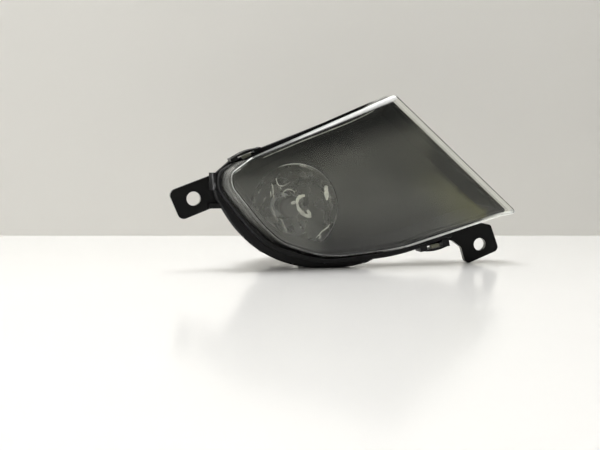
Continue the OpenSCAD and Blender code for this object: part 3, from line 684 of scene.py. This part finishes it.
# painted reflections: squiggly glints, the lower part of the C-shaped glint and glints at the lower right
painted_strokes("glints_mid", painted_film("glint_grey", (0.88, 0.88, 0.78), 0.66, noise_scale=160, rough=0.5), [
    ([(-14.9, 59.3), (-14.2, 56.2), (-12.9, 54.3), (-9.7, 54.2), (-5.8, 56.7)], 0.9),
    ([(-12.3, 53.6), (-11.4, 51.9)], 0.8),
    ([(-2.6, 50.2), (-4.5, 51.7), (-7.8, 52.3), (-10.3, 50.5), (-10.4, 48.6), (-8.4, 46.7)], 1.0),
    ([(-17.6, 55.6), (-16.5, 51.8), (-16.8, 48.7), (-15.8, 44.9)], 1.0),
    ([(-18.4, 51.2), (-18.1, 47.4)], 0.8),
    ([(-1.3, 44.2), (-0.6, 40.3), (1.4, 37.7), (4.0, 35.6), (8.1, 34.4)], 3.0),
    ([(5.4, 38.9), (6.9, 36.8), (7.2, 34.6)], 2.6),
    ([(-5.2, 43.2), (-1.4, 44.3)], 2.6),
    ([(11.2, 21.0), (13.8, 23.5), (15.2, 25.4), (18.5, 27.2), (20.5, 29.7)], 1.0),
    ([(13.0, 20.6), (14.6, 22.4)], 1.1),
], 2.6)
# painted reflections: faint glints over the bowl
painted_strokes("glints_faint", painted_film("glint_faint", (0.8, 0.8, 0.7), 0.24, noise_scale=160, rough=0.6), [
    ([(19.8, 48.8), (20.9, 43.4), (21.8, 38.2)], 1.6),
    ([(-11.7, 34.1), (-9.7, 29.1), (-7.8, 25.2)], 1.5),
    ([(-17.5, 42.6), (-16.2, 36.7), (-14.0, 32.0)], 1.6),
    ([(3.3, 63.4), (4.8, 59.0)], 1.4),
    ([(9.2, 63.9), (9.9, 58.0)], 1.0),
    ([(0.5, 67.0), (4.5, 66.4), (8.4, 64.4)], 2.0),
    ([(15.5, 33.0), (18.4, 30.2), (20.3, 26.6)], 1.2),
], 2.62)

# painted highlight: thin pale line just under the top edge of the lens
painted_strokes("inner_highlight_line", painted_film("inner_line_highlight", (0.85, 0.85, 0.78), 0.5, noise_scale=120, rough=0.5), [
    ([(-23.0, 72.0), (-13.3, 76.0), (0.7, 81.8), (15.9, 87.5), (31.4, 93.3), (41.3, 97.6), (49.6, 101.8)], 0.9),
], 2.64)


def lug(name, origin, turn, boxes):
    """Moulded lens lug in the frame of a clip."""
    a = math.radians(turn)
    bm = bmesh.new()
    for x0, x1, y0, y1, z0, z1 in boxes:
        vs = []
        for x, y, z in [(x, y, z) for x in (x0, x1) for y in (y0, y1) for z in (z0, z1)]:
            vs.append(bm.verts.new(at(origin[0] + x * math.cos(a) + z * math.sin(a), y, origin[1] - x * math.sin(a) + z * math.cos(a))))
        for f in ((0, 1, 3, 2), (4, 6, 7, 5), (0, 4, 5, 1), (2, 3, 7, 6), (0, 2, 6, 4), (1, 5, 7, 3)):
            bm.faces.new([vs[i] for i in f])
    bmesh.ops.recalc_face_normals(bm, faces=bm.faces)
    bmesh.ops.bevel(bm, geom=list(bm.edges), offset=0.00025, segments=2, affect="EDGES", profile=0.5)
    ob = obj_from(bm, name, MAT["lug"])
    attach(ob, "housing")


lug("lug_upper", (-32.2, 73.7), -20.9, [(-2.88, 2.88, 9.62, 13.58, -2.4, 0.38)])
lug("lug_lower", (95.5, 12.3), 169.8, [(-2.88, 2.88, 9.62, 13.58, -1.85, 0.38)])

# ---------------------------------------------------------------- bright bowl
prof = []
for i in range(41):
    y = RIM_Y + 0.02 + (VERTEX_Y - RIM_Y - 3.3) * i / 40
    prof.append((math.sqrt(4 * FOCAL * (VERTEX_Y - y)) - 0.12, y))
bowl = turned(prof, "bowl_coat", MAT["coat"], seg=128, angle=60)
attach(bowl, "reflector")

def arc_tube(name, mat, r, y, a0, a1, tube, seg=72, sides=8, centre=(0, 0)):
    """Part of a ring of round section about the optical axis, angles in degrees."""
    bm = bmesh.new()
    rows = []
    for i in range(seg + 1):
        f = i / seg
        a = math.radians(a0 + (a1 - a0) * f)
        q = tube * min(1, 0.25 + 6 * min(f, 1 - f))
        row = []
        for j in range(sides):
            b = 2 * math.pi * j / sides
            rr = r + q * math.cos(b)
            row.append(bm.verts.new(optic(centre[0] + rr * math.cos(a), y + q * math.sin(b), centre[1] + rr * math.sin(a))))
        rows.append(row)
    for a, b in zip(rows, rows[1:]):
        for j in range(sides):
            k = (j + 1) % sides
            bm.faces.new((a[j], a[k], b[k], b[j]))
    bm.faces.new(rows[0])
    bm.faces.new(list(reversed(rows[-1])))
    bmesh.ops.recalc_face_normals(bm, faces=bm.faces)
    return obj_from(bm, name, mat, angle=60)


# painted highlight: near-white arc along the right of the bowl rim, set off-centre
rim_highlight = arc_tube("bowl_rim_highlight", MAT["bright"], BOWL_R - 0.3, RIM_Y + 0.42, -84, 92, 0.62, centre=(1.6, -0.6))
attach(rim_highlight, "reflector")
# ---------------------------------------------------------------- edges of the moulded pieces
for name, w in (("housing", 0.4), ("ear_left", 1.0), ("ear_right", 1.0), ("bezel", 0.4), ("bulb_base", 0.4),
                ("plug_shell", 0.35), ("plug_latch", 0.25), ("adjuster_screw", 0.3), ("vent_elbow", 0.4),
                ("rear_boot", 0.3)):
    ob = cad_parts[name]
    wd = ob.modifiers.new("weld", "WELD")
    wd.merge_threshold = 2e-6
    bv = ob.modifiers.new("round", "BEVEL")
    bv.width = w / 1000
    bv.segments = 3
    bv.limit_method = "ANGLE"
    bv.angle_limit = math.radians(38)
    bv.use_clamp_overlap = True
    bv.harden_normals = False

# ---------------------------------------------------------------- stage, light, camera
def plane(name, pts, mat):
    me = bpy.data.meshes.new(name)
    me.from_pydata([Vector(p) for p in pts], [], [list(range(len(pts)))])
    ob = bpy.data.objects.new(name, me)
    scene.collection.objects.link(ob)
    me.materials.append(mat)
    ob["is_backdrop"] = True
    return ob


def flat(name, base, rough, one_sided=False):
    """Stage surface. A one-sided one is clear from behind, so the lamp's back can be seen past the wall."""
    t = Tree(name)
    n = t.noise(6, 4)
    col = t.mix(t.ramp(n, 0.3, 0.7, 0, 0.25), rgb(*base), rgb(*[c * 0.94 for c in base]))
    body = t.principled(Base_Color=col, Roughness=rough)
    if not one_sided:
        return t.done(body.outputs[0])
    geo = t.node("ShaderNodeNewGeometry")
    m = t.node("ShaderNodeMixShader")
    t.link(geo.outputs["Backfacing"], m.inputs[0])
    t.link(body.outputs[0], m.inputs[1])
    t.link(t.node("ShaderNodeBsdfTransparent").outputs[0], m.inputs[2])
    return t.done(m.outputs[0])


AZ, PITCH, CAM_H = math.radians(-15), math.radians(4.5), 84.0
eye = at(-178.585, -666.489, CAM_H)
fwd = Vector((-math.sin(AZ), math.cos(AZ), 0))
side = Vector((math.cos(AZ), math.sin(AZ), 0))
foot = Vector((eye.x, eye.y, 0))
edge_mid = foot + fwd * 0.947
table = flat("table_white", (0.86, 0.855, 0.84), 0.15)
wall = flat("wall_grey", (0.75, 0.735, 0.69), 0.8, one_sided=True)
w = side * 3.0
floor = plane("floor", [edge_mid - w - fwd * 4.5, edge_mid + w - fwd * 4.5, edge_mid + w, edge_mid - w], table)
plane("floor_behind", [edge_mid - w, edge_mid + w, edge_mid + w + fwd * 4.5, edge_mid - w + fwd * 4.5], table)
back = edge_mid + fwd * 0.002
plane("backdrop", [back - w - Vector((0, 0, 0.0005)), back + w - Vector((0, 0, 0.0005)), back + w + Vector((0, 0, 3)), back - w + Vector((0, 0, 3))], wall)


def area(name, loc, target, size, power, colour=(1, 1, 1), size_y=None):
    li = bpy.data.lights.new(name, "AREA")
    li.energy = power
    li.size = size
    if size_y:
        li.shape = "RECTANGLE"
        li.size_y = size_y
    li.color = colour
    ob = bpy.data.objects.new(name, li)
    ob.location = loc
    ob.rotation_euler = (Vector(target) - Vector(loc)).to_track_quat("-Z", "Y").to_euler()
    scene.collection.objects.link(ob)
    ob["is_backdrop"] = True
    return ob


centre = Vector((0, 0, 0.05))
area("overhead", Vector((-0.12, 0.1, 1.25)), Vector((-0.12, 0.1, 0)), 0.52, 23, size_y=0.75)
area("left_strip", Vector((-1.5, -0.25, 0.55)), centre, 0.35, 5, size_y=0.9)
area("right_back", Vector((1.2, 0.75, 0.9)), centre, 0.6, 2.5)
world = bpy.data.worlds.new("world")
world.use_nodes = True
wt = world.node_tree
wc = wt.nodes.new("ShaderNodeTexCoord")
ws = wt.nodes.new("ShaderNodeSeparateXYZ")
wt.links.new(wc.outputs["Generated"], ws.inputs[0])
wr = wt.nodes.new("ShaderNodeMapRange")
wr.inputs["From Min"].default_value = -0.75
wr.inputs["From Max"].default_value = 0.55
wr.inputs["To Min"].default_value = 0.1
wr.inputs["To Max"].default_value = 0.78
wt.links.new(ws.outputs["Y"], wr.inputs["Value"])
wt.nodes["Background"].inputs[0].default_value = (1.0, 0.99, 0.965, 1)
wt.links.new(wr.outputs["Result"], wt.nodes["Background"].inputs[1])
scene.world = world
scene.view_settings.view_transform = "Standard"

cam_data = bpy.data.cameras.new("camera")
cam_data.lens = 66
cam_data.sensor_width = 36
cam = bpy.data.objects.new("camera", cam_data)
cam.location = eye
cam.rotation_euler = (math.pi / 2 - PITCH, 0, AZ)
scene.collection.objects.link(cam)
scene.camera = cam

made_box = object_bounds()
({"cad": [list(v) if hasattr(v, "__len__") else v for v in cad_box],
           "made": [list(v) if hasattr(v, "__len__") else v for v in made_box]})
